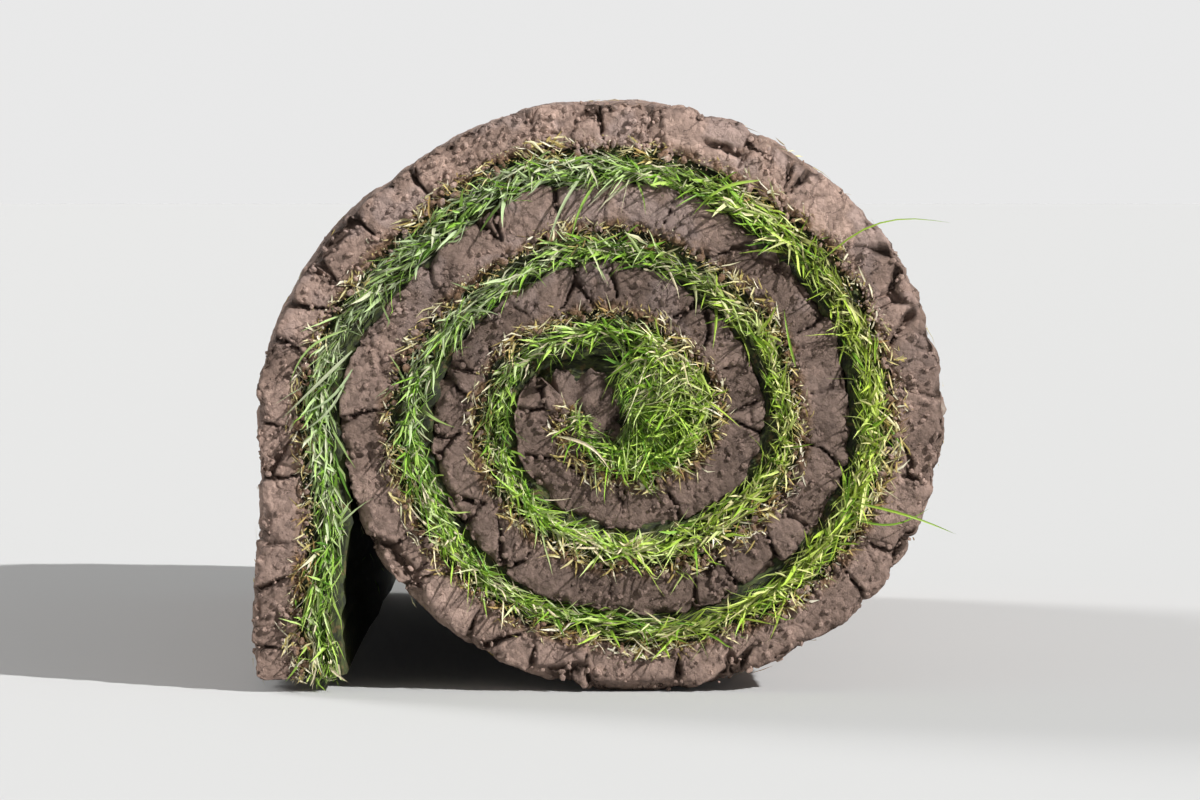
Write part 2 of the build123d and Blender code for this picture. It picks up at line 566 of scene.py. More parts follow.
earthSizes = {"Block Length": 0.023, "Block Width": 0.070, "Block Height": 0.055, "Crack Width": 0.0026,
              "Crack Depth": 0.0048, "Cracked To": soil["crackedTo"], "Grain": 0.0008, "Lumps": 0.0020}


def earthTree():  # cracks, clods and grain, laid out flat and then wound up
    tree, given = woundTree("earth", earthSizes)
    place = position(tree)
    normal = out(put(tree, "GeometryNodeInputNormal"))
    along, across, above = place.parts()
    facing = normal.parts()[1].work("ABSOLUTE")     # 1 on the cut ends, 0 on the skin
    aside = across.work("ABSOLUTE")

    jagged = jitter(place, relief["jaggedSize"], relief["jaggedReach"], 2.0)
    torn = place + jagged + jitter(place, relief["bowedSize"], relief["bowedReach"])
    block = vector(tree, given["Block Length"], given["Block Width"], given["Block Height"])
    blocks = torn.work("DIVIDE", block)
    border = out(cells(blocks, feature="DISTANCE_TO_EDGE"))
    opening = ramp(above, -halfSoil * 0.6, halfSoil, 0.04, 1.0, smooth=False)
    crackedTo = given["Cracked To"]
    opening = opening * ramp(along, crackedTo, crackedTo + relief["innerFade"], 1.0,
                             relief["innerOpening"])
    opening = opening * ramp(aside, halfWidth - relief["endDepth"], halfWidth,
                             relief["skinOpening"], relief["endOpening"])
    gapHalf = given["Crack Width"] / given["Block Length"] * 0.5 * opening
    gate = spots(place, relief["gateSize"], 0.40, 0.54, 1.0)
    crack = ramp(border, gapHalf, gapHalf * 0.15) * gate
    clod = out(cells(blocks), "Color").parts()[0]
    small = out(cells(torn.work("DIVIDE", relief["hairCells"]), feature="DISTANCE_TO_EDGE"))
    hair = ramp(small, 0.07, 0.02) * spots(place, relief["hairGate"], 0.52, 0.66, 1.0)

    rimAcross = ramp(aside, halfWidth - relief["rimReach"], halfWidth)
    rimAbove = ramp(above.work("ABSOLUTE"), halfSoil - relief["rimHeight"], halfSoil)
    crumbled = rimAcross * rimAbove * spots(place, relief["crumbleSize"], 0.40, 0.70, 3.0, 0.6)
    ragged = rimAbove * swing(place, relief["raggedSize"], relief["ragged"], 3.0, 0.55)

    grain = swing(place, relief["grainSize"], given["Grain"] * 2.0, 4.0, 0.65)
    lumps = swing(place, relief["lumpSize"], given["Lumps"], 2.0)
    pits = spots(place, relief["pitSize"], 0.66, 0.78, 1.0)
    sink = stored(tree, "sink")
    height = grain + lumps + (clod - 0.5) * (facing * relief["clodStepEnd"] + relief["clodStep"]) + ragged
    skinDepth = relief["skinDepth"]
    depth = given["Crack Depth"] * (facing * (1 - skinDepth) + skinDepth)
    height = height - crack * depth - hair * relief["hairDepth"]
    height = height - pits * relief["pitDepth"] - crumbled * relief["crumbled"] - sink
    moved = move(given["Geometry"], normal.scaled(height), "Offset")
    flat = keep(moved, "flat", place, "FLOAT_VECTOR")
    shade = crack + hair * 0.35 + sink * relief["sinkShade"]
    # painted shade in the cracks, stored under the name crack
    flat = keep(flat, "crack", shade.work("MINIMUM", 1.0))
    flat = keep(flat, "clod", clod)
    return endWound(wound(flat, given), given)


# Materials

def newMaterial(name):
    material = bpy.data.materials.new(name)
    material.use_nodes = True
    tree = material.node_tree
    return material, tree, tree.nodes["Principled BSDF"]


def mixColour(share, first, second):
    node = put(share.tree, "ShaderNodeMix", data_type="RGBA")
    slots = [s for s in node.inputs if s.enabled]
    for slot, value in zip(slots, (share, first, second)):
        feed(slot, value)
    return out(node)


def tinted(colour, where, tint):  # tint: its colour, and how much of it covers
    return mixColour(where * tint[1], colour, tint[0])


def objectPlace(tree):
    return out(put(tree, "ShaderNodeTexCoord"), "Object")


def attribute(tree, label, output="Fac"):
    return out(put(tree, "ShaderNodeAttribute", attribute_name=label), output)


def endMaterial(shader, colour, rough, specular=0.5, height=None, bumpDepth=0.001, strength=1.0):
    feed(shader.inputs["Base Color"], colour)
    shader.inputs["Roughness"].default_value = rough
    shader.inputs["Specular IOR Level"].default_value = specular
    if height:
        bump = put(height.tree, "ShaderNodeBump", {"Strength": strength, "Distance": bumpDepth,
                                                   "Height": height})
        feed(shader.inputs["Normal"], out(bump))


soilLook = {
    "pale": (0.385, 0.270, 0.221, 1),
    "brown": (0.270, 0.188, 0.151, 1),
    "outside": ((0.215, 0.138, 0.092, 1), 0.22),
    # painted sky light: lilac-grey tint in patches
    "paintedSkyTint": ((0.400, 0.312, 0.290, 1), 0.42),
    "bright": ((0.66, 0.50, 0.40, 1), 0.45),
    "root": ((0.22, 0.125, 0.062, 1), 0.8),
    "speck": ((0.050, 0.031, 0.022, 1), 0.38),
    # painted shade: near black in the cracks
    "crack": ((0.050, 0.031, 0.022, 1), 0.88),
    "patchSize": 0.010,
    "blotchSize": 0.034,
    "paintedSkyTintSize": 0.019,
    "crumbSize": 0.0028,
    "lineSize": 0.0085,     # fine cracks, where the colours of two shifted cell patterns differ
    "lineGap": 0.0016,
    "gapSize": 0.016,
    "jaggedSize": 0.0050,
    "jaggedReach": 0.0075,
    "pebbleSize": 0.0058,
    "dragSize": 0.0022,
    "brightSize": 0.0030,
    "rootSize": 0.006,
    "speckSize": 0.0018,
    "fineSize": 0.0014,
    "litTopHeights": (0.15, 0.21),  # painted light: the top of the roll is paler, with patches of painted sky tint
    "litTop": 1.30,
    "paintedSkyTintHeights": (0.09, 0.19),
    # painted shade: the inner turns are darker
    "innerTurnShade": 0.62,
    "bumpDepth": 0.0012,
}


def soilMaterial():
    material, tree, shader = newMaterial("soil")
    look = soilLook
    place = objectPlace(tree)
    high = place.parts()[2]
    along, across, above = attribute(tree, "flat", "Vector").parts()
    skin = ramp(across.work("ABSOLUTE"), halfWidth - 0.0008, halfWidth - 0.004)
    clod = attribute(tree, "clod")

    patches = noise(place, look["patchSize"], 5.0, 0.72) + (clod - 0.5) * 0.35
    colour = mixColour(ramp(patches, 0.34, 0.66), look["brown"], look["pale"])
    crumbs = cells(place, look["crumbSize"])
    colour = colour.scaled(ramp(out(crumbs, "Color").parts()[0], 0.0, 1.0, 0.74, 1.20, smooth=False))
    # painted shade: darker in the inner turns
    innerFrom, innerTo = soil["crackedTo"] - 0.08, soil["crackedTo"] + 0.25
    colour = colour.scaled(ramp(along, innerFrom, innerTo, 1.0, look["innerTurnShade"]))
    # painted light: the top of the roll is paler
    colour = colour.scaled(ramp(high, *look["litTopHeights"], 1.0, look["litTop"]))
    colour = colour.scaled(spots(place, look["blotchSize"], 0.36, 0.62, 1.0, low=0.84, high=1.10))
    # painted sky light: lilac-grey patches, more towards the top
    paintedSkyTint = spots(place, look["paintedSkyTintSize"], 0.47, 0.58) * ramp(high, *look["paintedSkyTintHeights"])
    colour = tinted(colour, paintedSkyTint, look["paintedSkyTint"])
    colour = tinted(colour, skin, look["outside"])

    jagged = jitter(place, look["jaggedSize"], look["jaggedReach"], 3.0, 0.6)
    crazed = vector(tree, along, across * 0.42, above * 0.7) + jagged
    gap = noise(place, look["gapSize"]) * look["lineGap"] - 0.0004
    before, after = (out(cells(crazed + vector(tree, gap * side, 0.0, 0.0), look["lineSize"]),
                         "Color").parts()[0] for side in (-1.0, 1.0))
    lines = ramp((before - after).work("ABSOLUTE"), 0.12, 0.45) * ramp(gap, 0.0, 0.0002)
    lines = lines * (skin * 0.5 + 0.5)
    pebbles = cells(place + jagged.scaled(0.4), look["pebbleSize"])
    tone = out(pebbles, "Color").parts()[1] * skin
    colour = colour.scaled(ramp(tone, 0.0, 1.0, 1.05, 0.86, smooth=False))
    drag = noise(vector(tree, along * 0.06, across, above), look["dragSize"])
    colour = colour.scaled(ramp(drag * skin, 0.35, 0.62, 0.97, 1.10))
    bright = spots(place, look["brightSize"], 0.60, 0.68, 3.0, 0.6) * skin
    colour = tinted(colour, bright, look["bright"])
    rooty = ramp(above, 0.006 - halfSoil, 0.001 - halfSoil)
    rooty = rooty * spots(place, look["rootSize"], 0.40, 0.58, 3.0)
    colour = tinted(colour, rooty, look["root"])
    specks = spots(place, look["speckSize"], 0.54, 0.70, 3.0, 0.65)
    colour = tinted(colour, specks, look["speck"])
    # painted shade: the packed and the fine cracks go near black
    paintedCrackShade = (attribute(tree, "crack") + lines).work("MINIMUM", 1.0)
    colour = tinted(colour, paintedCrackShade, look["crack"])

    fine = noise(place, look["fineSize"], 5.0, 0.72) - out(crumbs, "Distance") * 0.5
    fine = fine - lines * 1.6 - out(pebbles, "Distance") * skin * 1.3 + drag * skin * 0.25
    endMaterial(shader, colour, 0.92, 0.25, fine, look["bumpDepth"])
    return material


soilFinish = soilMaterial()
earth = earthTree()
for name, base in (("soilFront", endSheet("soilFront", soil["alongStep"], soil["faceStep"], -1)),
                   ("soilBack", endSheet("soilBack", soil["backStep"], soil["backFaceStep"], 1)),
                   ("soilSkin", skinSheet())):
    runTree(name, earth, base, {**earthSizes, **winding, "Material": soilFinish}, "soil")


# Grass, thatch and roots: one tree of slender strips, laid out flat and then wound up

def bladeShape(tree, given):  # one blade along X, a unit long and wide, with a fold
    grid = put(tree, "GeometryNodeMeshGrid", {"Size X": 1.0, "Size Y": 1.0, "Vertices X": given["Bends"],
                                              "Vertices Y": 3})
    x, y, z = position(tree).parts()
    along = x + 0.5
    taper = (along.work("POWER", 2.6) * -1.0 + 1.0) * ramp(along, -0.25, 0.22)
    ridge = y.work("ABSOLUTE") * taper * given["Fold"]
    shaped = move(out(grid, "Mesh"), vector(tree, along, y * taper, ridge))
    return keep(keep(shaped, "along", along), "beside", y + 0.5)


growth = {  # the patterns that blades follow, in metres
    "bunchSize": 0.003,
    "fullSize": 0.030,      # bands are thin and full by turns
    "driftSize": 0.055,
    "gatherSize": 0.012,
    "tuftSize": 0.016,
    "tintSize": 0.045,
    "rippleSize": 0.006,
    "crossing": 0.0015,     # a blade starts to rise clear of the soil this near its edge
    "crossed": 0.001,       # and is clear of it this far past that edge
    "sunk": 0.3,            # elsewhere it may lie as deep as it likes
    "shadeFrom": -0.002,    # painted shade: blades are darkest this far inside the cut end
    "shadeTo": 0.0048,
}


bladeDefaults = {
    "Bends": 6, "Seed": 1, "From": 0.0, "To": strip["length"],
    "Low": nextSoil - 0.0004, "High": -halfSoil - 0.0028,
    "Inner": halfWidth - 0.005, "Outer": halfWidth + 0.003,
    "Shortest": 0.007, "Longest": 0.022, "Width": 0.0010, "Fold": 0.35, "Spread": 0.50, "Lift": 0.26,
    "Curl": 0.26, "Wave": 0.0014, "Droop": 0.0, "Forward": 0.7, "Side": -1.0, "Clear": 0.0012,
    "Stray": 0.0045, "Edge": halfWidth, "Clump": 0.55, "Dry": 0.07, "Drift": 0.005,
    "Bunch": 0.00001,
}


def bladeTree():
    tree, given = woundTree("blades", bladeDefaults, Count="Int", Bends="Int", Seed="Int")
    chance = chances(tree, given["Seed"] * 31.0)
    low, high, side, edge = (given[label] for label in ("Low", "High", "Side", "Edge"))

    bunch = chance(given["From"], given["To"]).work("SNAP", given["Bunch"])
    uneven = noise(vector(tree, bunch, 0, 0.7), growth["bunchSize"], 0.0) + chance() * 0.35
    along = bunch + uneven * given["Bunch"]
    line = vector(tree, along, 0, side)
    fullness = spots(line, growth["fullSize"], 0.36, 0.64, 1.0, low=0.25, high=1.20)
    drift = swing(vector(tree, along, 0.5, side), growth["driftSize"], given["Drift"])
    above = (low + high) * 0.5 + drift + chance(-0.5, 0.5) * (high - low) * fullness
    across = chance(given["Inner"], given["Outer"]) * side
    root = vector(tree, along, across, above)
    points = put(tree, "GeometryNodePoints", {"Count": given["Count"], "Position": root, "Radius": 0.001})
    spot = vector(tree, along, above * 0.6, side * 0.7)
    gathered = spots(spot, growth["gatherSize"], 0.40, 0.56, 1.0)
    fuller = (gathered - 1.0) * given["Clump"] + 1.0
    length = chance(given["Shortest"], given["Longest"]) * fuller
    tuft = swing(vector(tree, along, above, side * 0.3), growth["tuftSize"], 1.6)
    angle = ((chance() + chance() - 1.0) * 0.75 + tuft) * given["Spread"]
    heading = (chance() - given["Forward"]).work("SIGN")
    lift = chance(-0.25, 1.0) * given["Lift"] * side
    aim = vector(tree, heading * angle.work("COSINE"), lift, angle.work("SINE")).work("NORMALIZE")
    turned = put(tree, "FunctionNodeEulerToRotation", {"Euler": vector(tree, chance(-2.2, 2.2), 0, 0)})
    aligned = put(tree, "FunctionNodeAlignRotationToVector", {"Rotation": out(turned), "Vector": aim},
                  axis="X")
    width = given["Width"] * chance(0.6, 1.25) * (fuller * 0.5 + 0.5)
    bend = vector(tree, chance(-0.3, 0.3), chance(-0.5, 0.25) * side, chance(-1.0, 1.0))
    droop = chance(0.3, 1.0) * given["Droop"] * length
    # the root side of a band is yellower, and the tips' side darker green as painted shade
    rootSide = ramp(above, low, high, smooth=False)
    shades = (noise(root, growth["tintSize"], 1.0) - 0.33) * 0.70
    tint = chance() * 0.66 + rootSide * 0.24 + shades
    dry = (given["Dry"] - chance()).work("SIGN").work("MAXIMUM", 0.0)
    tint = tint + dry * chance(0.3, 0.9)

    marked = keep(out(points), "bend", bend.scaled(given["Curl"] * length), "FLOAT_VECTOR")
    marked = keep(marked, "drop", droop)
    marked = keep(marked, "tint", tint)
    marked = keep(marked, "stray", chance() * chance() * given["Stray"])
    placed = put(tree, "GeometryNodeInstanceOnPoints", {
        "Points": marked, "Instance": bladeShape(tree, given), "Rotation": out(aligned),
        "Scale": vector(tree, length, width, width)})
    solid = realize(out(placed))

    place = position(tree)
    way = stored(tree, "along")
    square = way * way
    ripple = jitter(place, growth["rippleSize"], given["Wave"] * way)
    x, y, z = (place + stored(tree, "bend", "FLOAT_VECTOR").scaled(square) + ripple).parts()
    stray = stored(tree, "stray")
    z = z.work("MAXIMUM", low - stray).work("MINIMUM", high + stray)
    overOwn = ramp(z, -halfSoil - growth["crossing"], -halfSoil + growth["crossed"])
    overNext = ramp(z, nextSoil + growth["crossing"], nextSoil - growth["crossed"])
    over = (overOwn + overNext).work("MINIMUM", 1.0)
    level = over * (given["Clear"] + growth["sunk"]) - growth["sunk"] + edge
    clear = y.work("ABSOLUTE").work("MAXIMUM", level) * y.work("SIGN")
    rolled = wound(move(solid, vector(tree, x, clear, z)), given)
    fallen = position(tree) - vector(tree, 0, 0, stored(tree, "drop") * square)
    x, y, z = fallen.parts()
    settled = move(rolled, vector(tree, x, y, z.work("MAXIMUM", given["Floor"])))
    # painted shade: the raised attribute darkens blades deeper inside the cut end
    raised = ramp(y.work("ABSOLUTE") - edge, growth["shadeFrom"], growth["shadeTo"])
    return endWound(keep(settled, "raised", raised), given)


bladeLook = {
    "root": ((0.45, 0.48, 0.20, 1), 0.45),
    "rootTo": 0.28,         # share of a blade's length that the root's tint reaches
    "cool": (0.42, 0.54, 0.35, 1),  # greyer towards the upper left
    "paintedSunlight": ((0.66, 0.74, 0.085, 1), 0.7),  # painted sunlight: yellower towards the right
    "veins": 40.0,
    "veinDepth": 0.12,
    "lit": 1.08,
}


def bladeMaterial(name, colours, rough, coolAndSunShare, deepShade):  # colours: pairs of tint and colour
    material, tree, shader = newMaterial(name)
    tint, along, beside, raised = (attribute(tree, label) for label in ("tint", "along", "beside", "raised"))
    shades = put(tree, "ShaderNodeValToRGB", {"Fac": tint})
    stops = shades.color_ramp.elements
    for k, (share, colour) in enumerate(colours):
        stop = stops[k] if k < 2 else stops.new(share)
        stop.position, stop.color = share, (*colour, 1)
    colour = tinted(out(shades, "Color"), ramp(along, bladeLook["rootTo"], 0.0), bladeLook["root"])
    x, y, z = objectPlace(tree).parts()
    cool = ramp(z * 0.8 - x, 0.09, 0.19) * ramp(tint, 0.25, 0.75) * coolAndSunShare
    colour = mixColour(cool, colour, bladeLook["cool"])
    # painted sunlight: yellower towards the right
    paintedSunlight = ramp(x - z * 0.25, -0.03, 0.06) * ramp(tint, 0.2, 0.6) * coolAndSunShare
    colour = tinted(colour, paintedSunlight, bladeLook["paintedSunlight"])
    depth = bladeLook["veinDepth"]
    veins = (beside * bladeLook["veins"]).work("SINE") * depth + (1.0 - depth)
    # painted shade: blades deeper inside the cut end are darker, those clear of it a little paler
    shade = ramp(raised, 0.0, 1.0, deepShade, bladeLook["lit"], smooth=False)
    endMaterial(shader, colour.scaled(veins * shade), rough, 0.35)
    return material


grassColours = ((0.0, (0.050, 0.130, 0.016)), (1.0, (0.86, 0.74, 0.50)), (0.18, (0.130, 0.310, 0.025)),
                (0.40, (0.290, 0.520, 0.045)), (0.62, (0.500, 0.690, 0.110)), (0.82, (0.620, 0.730, 0.340)))
strawColours = ((0.0, (0.13, 0.070, 0.028)), (1.0, (0.94, 0.87, 0.68)), (0.25, (0.38, 0.225, 0.085)),
                (0.50, (0.62, 0.50, 0.17)), (0.72, (0.82, 0.74, 0.40)))
grassFinish = bladeMaterial("grass", grassColours, 0.48, 0.6, 0.33)
strawFinish = bladeMaterial("thatch", strawColours, 0.8, 0.0, 0.80)
blades = bladeTree()


fillLook = {
    # painted shade: the stems go near black, as shade between the turns
    "deepShade": (0.014, 0.017, 0.006, 1),
    "stem": (0.055, 0.070, 0.016, 1),
    "straw": ((0.14, 0.085, 0.035, 1), 0.6),
    "fibreSize": 0.0016,
    "strawSize": 0.004,
}


def fillMaterial(name, laidOut):  # matted stems and thatch deep between the turns, darkened as painted shade
    material, tree, shader = newMaterial(name)
    flat = attribute(tree, "flat", "Vector") if laidOut else objectPlace(tree)
    fibres = noise(flat.work("MULTIPLY", (0.25, 1.0, 1.0)), fillLook["fibreSize"], 3.0, 0.6)
    colour = mixColour(ramp(fibres, 0.40, 0.62), fillLook["deepShade"], fillLook["stem"])
    straw = spots(flat, fillLook["strawSize"], 0.55, 0.68)
    colour = tinted(colour, straw, fillLook["straw"])
    endMaterial(shader, colour, 0.85, 0.5, fibres, strength=0.8)
    return material


fillFinish = fillMaterial("packedSwardShaded", True)
plugFinish = fillMaterial("coreThatchShaded", False)


def growBlades(name, slot, node=None, **changes):
    finish = strawFinish if slot == "thatch" else grassFinish
    values = {**bladeDefaults, **winding, "Material": finish, **changes}
    runTree(name, blades, bpy.data.meshes.new(name), values, slot, node)


fillSizes = {**earthSizes, **winding, "Block Length": 0.009, "Block Width": 0.02, "Block Height": 0.006,
             "Crack Width": 0.0016, "Crack Depth": 0.002, "Grain": 0.0016, "Lumps": 0.001,
             "Material": fillFinish}
runTree("swardFill", earth, swardSheet(), fillSizes, "grass")
growBlades("grassMatFront", "grass", Count=7600, Seed=3, Bends=5)
growBlades("grassBitsFront", "grass", Count=3200, Seed=7, Bends=3, Inner=halfWidth - 0.001,
           Outer=halfWidth + 0.004, Shortest=0.003, Longest=0.009, Width=0.0012, Spread=2.0, Lift=0.6,
           Clump=0.6, Dry=0.3)
growBlades("grassSplayFront", "grass", Count=1600, Seed=5, Inner=halfWidth - 0.004, Outer=halfWidth,
           Shortest=0.012, Longest=0.0225, Spread=0.9, Width=0.0014, Lift=3.2, Curl=0.3, Droop=0.1,
           Stray=0.03, Clump=0.2, Dry=0.12, Bunch=0.0075)
growBlades("thatchFront", "thatch", Count=6600, Seed=9, Bends=3, Low=-halfSoil - 0.0055,
           High=-halfSoil + 0.0050, Inner=halfWidth - 0.002, Outer=halfWidth + 0.002, Shortest=0.002,
           Longest=0.0085, Width=0.0011, Spread=1.8, Lift=0.6, Curl=0.5, Clear=0.0002, Stray=0.005,
           Clump=0.85, Drift=0.002)


# The core: a plug of matted grass just inside both ends, and the tuft that springs up in front of it

core = {
    "rings": 28,
    "plugCentre": (0.001, 0.111),
    "plugRadii": (0.038, 0.014, 0.030),
    "plugInset": 0.021,     # the plug's middle lies this far inside the cut end
    "plugRough": 0.0035,
    "clodCentre": (-0.006, 0.101),  # the crumbled end of the soil
    "clodRadii": (0.017, 0.012, 0.021),
    "clodInset": 0.013,
    "clodRough": 0.0060,
}


def addMade(name, made, finish, slot, attributes, form="FLOAT", smooth=False):  # values by label
    mesh = bpy.data.meshes.new(name)
    made.to_mesh(mesh)
    made.free()
    mesh.polygons.foreach_set("use_smooth", [smooth] * len(mesh.polygons))
    for label, values in attributes.items():
        layer = mesh.attributes.new(label, form, "POINT")
        layer.data.foreach_set("vector" if form == "FLOAT_VECTOR" else "value", values)
    mesh.materials.append(finish)
    addPiece(name, mesh, slot)


def coreLump(name, part, finish, slot):  # a rough lump inside both ends
    mesh = bmesh.new()
    x, z = core[part + "Centre"]
    for side in (-1, 1):
        place = Matrix.Translation((x, side * (halfWidth - core[part + "Inset"]), z))
        size = Matrix.Diagonal((*core[part + "Radii"], 1))
        ball = bmesh.ops.create_uvsphere(mesh, u_segments=2 * core["rings"], v_segments=core["rings"],
                                         radius=1.0, matrix=place @ size)
        for vertex in ball["verts"]:
            outward = (vertex.co - place.translation).normalized()
            vertex.co += outward * core[part + "Rough"] * turbulence(vertex.co * 160, 3, False)
    flat = [strip["length"], halfWidth, 0.0] * len(mesh.verts)
    addMade(name, mesh, finish, slot, {"flat": flat}, "FLOAT_VECTOR", smooth=True)


coreLump("corePlug", "plug", plugFinish, "grass")
coreLump("coreClod", "clod", soilFinish, "soil")

for name, side, count, seed in (("coreTuftFront", -1.0, 1500, 21), ("coreTuftBack", 1.0, 800, 22)):
    growBlades(name, "grass", Side=side, Count=count, Seed=seed, Bends=5, From=1.335, To=1.475,
               Low=nextSoil - 0.020, High=-halfSoil - 0.004, Inner=halfWidth - 0.008,
               Outer=halfWidth + 0.002, Shortest=0.010, Longest=0.024, Width=0.0012, Spread=2.4, Lift=1.1,
               Curl=0.55, Droop=0.18, Stray=0.004, Forward=0.5, Clear=0.0002)


# Single blades that lie across the soil, away from the bands: start, end, lift, width and tint of each

stray = {
    "bends": 9,
    "clear": 0.003,         # they start and end this far in front of the cut end
    "bow": 0.16,            # share of the length by which they bend aside
    "ridge": 0.2,           # share of the width by which they are folded
    "raised": 0.65,         # how brightly they are lit, from 0 to 1
}
strayBlades = (
    ((-0.0930, 0.1290), (-0.1200, 0.1030), 0.006, 0.0013, 0.95),
    ((-0.0930, 0.1220), (-0.1150, 0.1045), 0.004, 0.0011, 0.80),
    ((-0.0950, 0.1370), (-0.1170, 0.1150), 0.005, 0.0010, 0.55),
    ((-0.0960, 0.1160), (-0.1130, 0.0980), 0.004, 0.0010, 0.90),
    ((0.0960, 0.0720), (0.1340, 0.0600), 0.008, 0.0011, 0.40),
    ((0.0950, 0.0660), (0.1240, 0.0700), 0.006, 0.0009, 0.30),
    ((0.0820, 0.1620), (0.1320, 0.1770), 0.010, 0.0007, 0.42),
    ((-0.0060, 0.1960), (-0.0200, 0.1660), 0.006, 0.0012, 0.85),
    ((-0.0010, 0.1930), (-0.0110, 0.1690), 0.004, 0.0011, 0.45),
    ((-0.0160, 0.0970), (0.0050, 0.0820), 0.007, 0.0013, 1.00),
    ((0.0600, 0.1930), (0.0340, 0.1790), 0.005, 0.0012, 0.50),
    ((0.0735, 0.1230), (0.0690, 0.1450), 0.006, 0.0010, 0.35),
)


def addStrays():
    mesh = bmesh.new()
    tints = []
    for k, (start, end, lift, width, tint) in enumerate(strayBlades):
        start, end = Vector((start[0], 0, start[1])), Vector((end[0], 0, end[1]))
        beside = (end - start).cross(Vector((0, 1, 0))).normalized()
        bow = math.sin(k * 2.3) * (end - start).length * stray["bow"]
        rows = []
        for share in np.linspace(0, 1, stray["bends"]):
            place = start.lerp(end, share) + beside * bow * math.sin(math.pi * share)
            place.y = -halfWidth - stray["clear"] - lift * math.sin(math.pi * (0.15 + 0.7 * share))
            half = beside * width / 2 * (1 - share ** 2.6) * min(1.0, 0.35 + share * 4)
            ridge = Vector((0, width * stray["ridge"], 0))
            rows.append([mesh.verts.new(place + offset) for offset in (-half, ridge, half)])
            tints += [(tint, share, part, stray["raised"]) for part in (0.0, 0.5, 1.0)]
        for first, second in zip(rows, rows[1:]):
            for side in (0, 1):
                mesh.faces.new((first[side], first[side + 1], second[side + 1], second[side]))
    addMade("strayBlades", mesh, grassFinish, "grass",
            dict(zip(("tint", "along", "beside", "raised"), zip(*tints))))


addStrays()


# The back end, the free end's edge and what lies on the outside

growBlades("grassMatBack", "grass", Count=4200, Seed=13, Bends=4, Side=1.0)
growBlades("grassSplayBack", "grass", Count=260, Seed=15, Side=1.0, Inner=halfWidth,
           Outer=halfWidth + 0.003, Longest=0.026, Spread=1.5, Lift=0.6, Curl=0.4, Droop=0.15, Stray=0.03)
growBlades("thatchBack", "thatch", Count=2600, Seed=19, Bends=3, Side=1.0, Low=-halfSoil - 0.003,
           High=-halfSoil + 0.0035, Inner=halfWidth + 0.001, Outer=halfWidth + 0.004, Shortest=0.003,
           Longest=0.010, Width=0.0009, Spread=3.0, Lift=0.5, Curl=0.5, Clear=0.0003, Stray=0.004)
wholeWidth = {"Inner": -halfWidth, "Outer": halfWidth, "Edge": 0.0, "Clear": 0.0, "Side": 1.0}
growBlades("tailFringe", "grass", Count=1500, Seed=25, Bends=5, From=-0.002, To=0.010, Shortest=0.008,
           Longest=0.020, Spread=0.5, Lift=0.45, Forward=0.97, Stray=0.003, **wholeWidth)
growBlades("tailStraw", "thatch", Count=1300, Seed=27, Bends=3, From=-0.001, To=0.004,
           Low=-halfSoil - 0.004, High=-halfSoil + 0.005, Shortest=0.003, Longest=0.010, Width=0.001,
           Spread=1.6, Lift=0.8, Forward=0.9, Stray=0.003, **wholeWidth)
growBlades("tailMat", "grass", Count=2200, Seed=29, Bends=4, From=0.0, To=0.14,
           Low=nextSoil - 0.002, High=-halfSoil - 0.007, Longest=0.028, Spread=0.5,
           Lift=0.9, Stray=0.004, **wholeWidth)
growBlades("skinStraw", "thatch", "soil_mat", Count=1500, Seed=31, Bends=3, From=0.0,
           To=soil["skinBits"], Low=halfSoil - 0.0004, High=halfSoil + 0.0008, Shortest=0.003,
           Longest=0.013, Width=0.0007, Spread=0.15, Lift=3.0, Curl=0.4, Forward=0.5, Stray=0.0015,
           **wholeWidth)


# Crumbs of soil and small stones: low lumps that sit on the ends and on the outside

lumpLook = {
    "dentSize": 0.0016,
    "dentDepth": 1.6,       # times the smallest lump
    "clod": 0.9,            # lumps are as pale as the palest clods
}


lumpDefaults = {"Facets": 1, "From": 0.0, "To": strip["length"], "Low": -halfSoil, "High": halfSoil,
                "Smallest": 0.00045, "Largest": 0.0017, "Flatness": 0.7}


def lumpTree():
    tree, given = woundTree("lumps", lumpDefaults, Inner="Float", Outer="Float", Count="Int", Seed="Int",
                            Facets="Int")
    chance = chances(tree, given["Seed"] * 17.0)
    root = vector(tree, *(chance(given[least], given[most]) for least, most in (
        ("From", "To"), ("Inner", "Outer"), ("Low", "High"))))
    points = put(tree, "GeometryNodePoints", {"Count": given["Count"], "Position": root, "Radius": 0.001})
    lump = put(tree, "GeometryNodeMeshIcoSphere", {"Radius": 1.0, "Subdivisions": given["Facets"]})
    share = chance()
    size = given["Smallest"] + share * share * (given["Largest"] - given["Smallest"])
    turn = vector(tree, *(chance(0.0, 6.28) for _ in range(3)))
    turned = put(tree, "FunctionNodeEulerToRotation", {"Euler": turn})
    stretched = vector(tree, size * chance(0.8, 1.5), size, size * given["Flatness"])
    placed = put(tree, "GeometryNodeInstanceOnPoints", {
        "Points": out(points), "Instance": out(lump, "Mesh"), "Rotation": out(turned), "Scale": stretched})
    solid = realize(out(placed))
    place = position(tree)
    dent = jitter(place, lumpLook["dentSize"], given["Smallest"] * lumpLook["dentDepth"], 2.0)
    dented = move(solid, dent, "Offset")
    flat = keep(dented, "flat", place, "FLOAT_VECTOR")
    shaded = keep(flat, "clod", lumpLook["clod"])
    return endWound(wound(shaded, given), given)


stoneLook = {
    "dark": (0.26, 0.205, 0.17, 1),
    "pale": (0.48, 0.42, 0.36, 1),
    "dirt": ((0.24, 0.165, 0.125, 1), 0.6),
    "shadeSize": 0.012,
    "dirtSize": 0.0025,
    "grainSize": 0.001,
    "bumpDepth": 0.0004,
}


